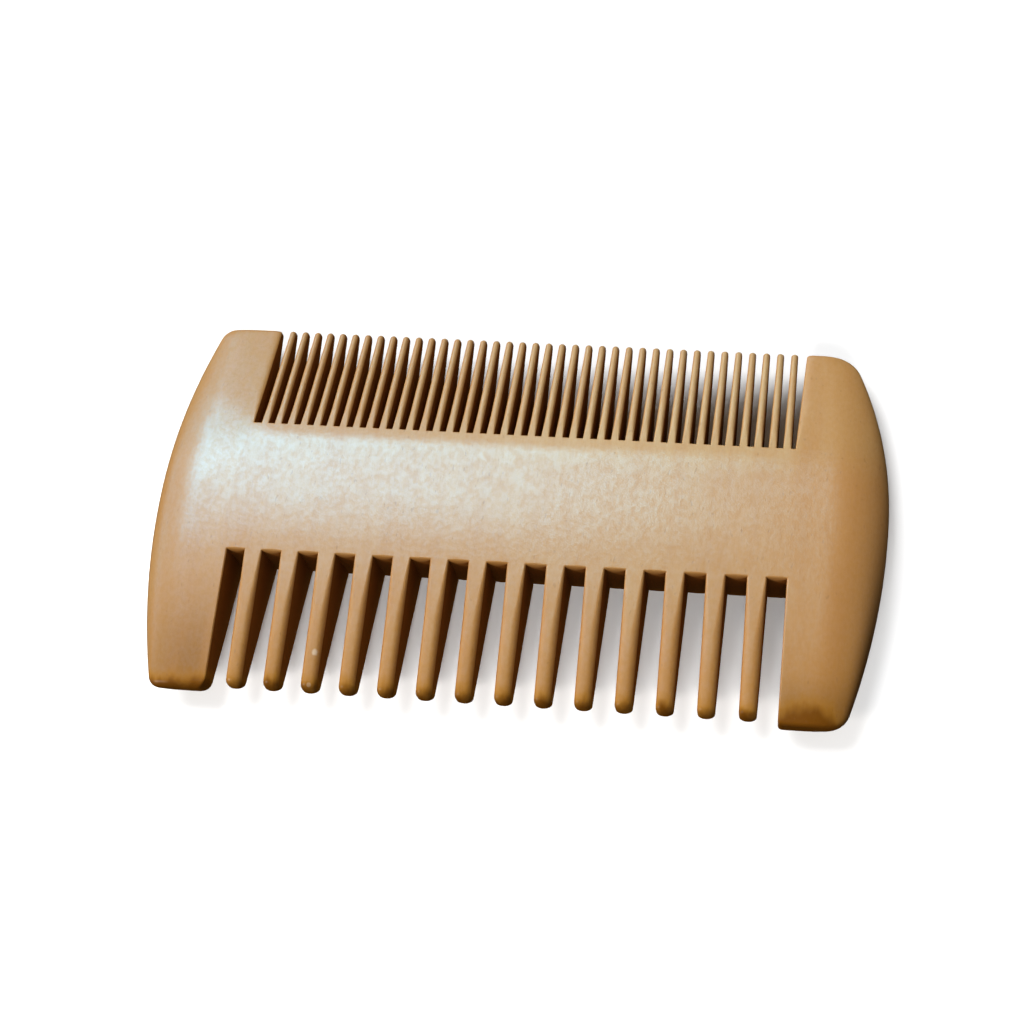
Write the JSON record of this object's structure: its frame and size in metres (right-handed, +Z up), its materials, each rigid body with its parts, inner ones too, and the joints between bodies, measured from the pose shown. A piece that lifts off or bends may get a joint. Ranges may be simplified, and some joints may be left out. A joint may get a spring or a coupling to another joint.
{
  "type": "double-sided comb",
  "caption": "Flat double-sided wooden comb: wide teeth along one edge, fine teeth along the other, a plain spine between them and a bulged guard at each end.",
  "frame": {"origin": "middle of the comb's outline, on the surface that it lies flat on", "axes": "+X along the length, +Y across towards the fine teeth (-Y towards the wide teeth), +Z up through the thickness"},
  "size_m": [0.1, 0.0548, 0.0082],
  "materials": {
    "wood": "satin, lightly oiled and polished pale fruitwood, darker at the end grain"
  },
  "bodies": {
    "root": {"spine": "wood", "left_end_guard": "wood", "right_end_guard": "wood", "wide_tooth_01": "wood", "wide_tooth_02": "wood", "wide_tooth_03": "wood", "wide_tooth_04": "wood", "wide_tooth_05": "wood", "wide_tooth_06": "wood", "wide_tooth_07": "wood", "wide_tooth_08": "wood", "wide_tooth_09": "wood", "wide_tooth_10": "wood", "wide_tooth_11": "wood", "wide_tooth_12": "wood", "wide_tooth_13": "wood", "wide_tooth_14": "wood", "fine_tooth_01": "wood", "fine_tooth_02": "wood", "fine_tooth_03": "wood", "fine_tooth_04": "wood", "fine_tooth_05": "wood", "fine_tooth_06": "wood", "fine_tooth_07": "wood", "fine_tooth_08": "wood", "fine_tooth_09": "wood", "fine_tooth_10": "wood", "fine_tooth_11": "wood", "fine_tooth_12": "wood", "fine_tooth_13": "wood", "fine_tooth_14": "wood", "fine_tooth_15": "wood", "fine_tooth_16": "wood", "fine_tooth_17": "wood", "fine_tooth_18": "wood", "fine_tooth_19": "wood", "fine_tooth_20": "wood", "fine_tooth_21": "wood", "fine_tooth_22": "wood", "fine_tooth_23": "wood", "fine_tooth_24": "wood", "fine_tooth_25": "wood", "fine_tooth_26": "wood", "fine_tooth_27": "wood", "fine_tooth_28": "wood", "fine_tooth_29": "wood", "fine_tooth_30": "wood", "fine_tooth_31": "wood", "fine_tooth_32": "wood", "fine_tooth_33": "wood", "fine_tooth_34": "wood", "fine_tooth_35": "wood", "fine_tooth_36": "wood", "fine_tooth_37": "wood", "fine_tooth_38": "wood", "fine_tooth_39": "wood"}
  },
  "joints": []
}
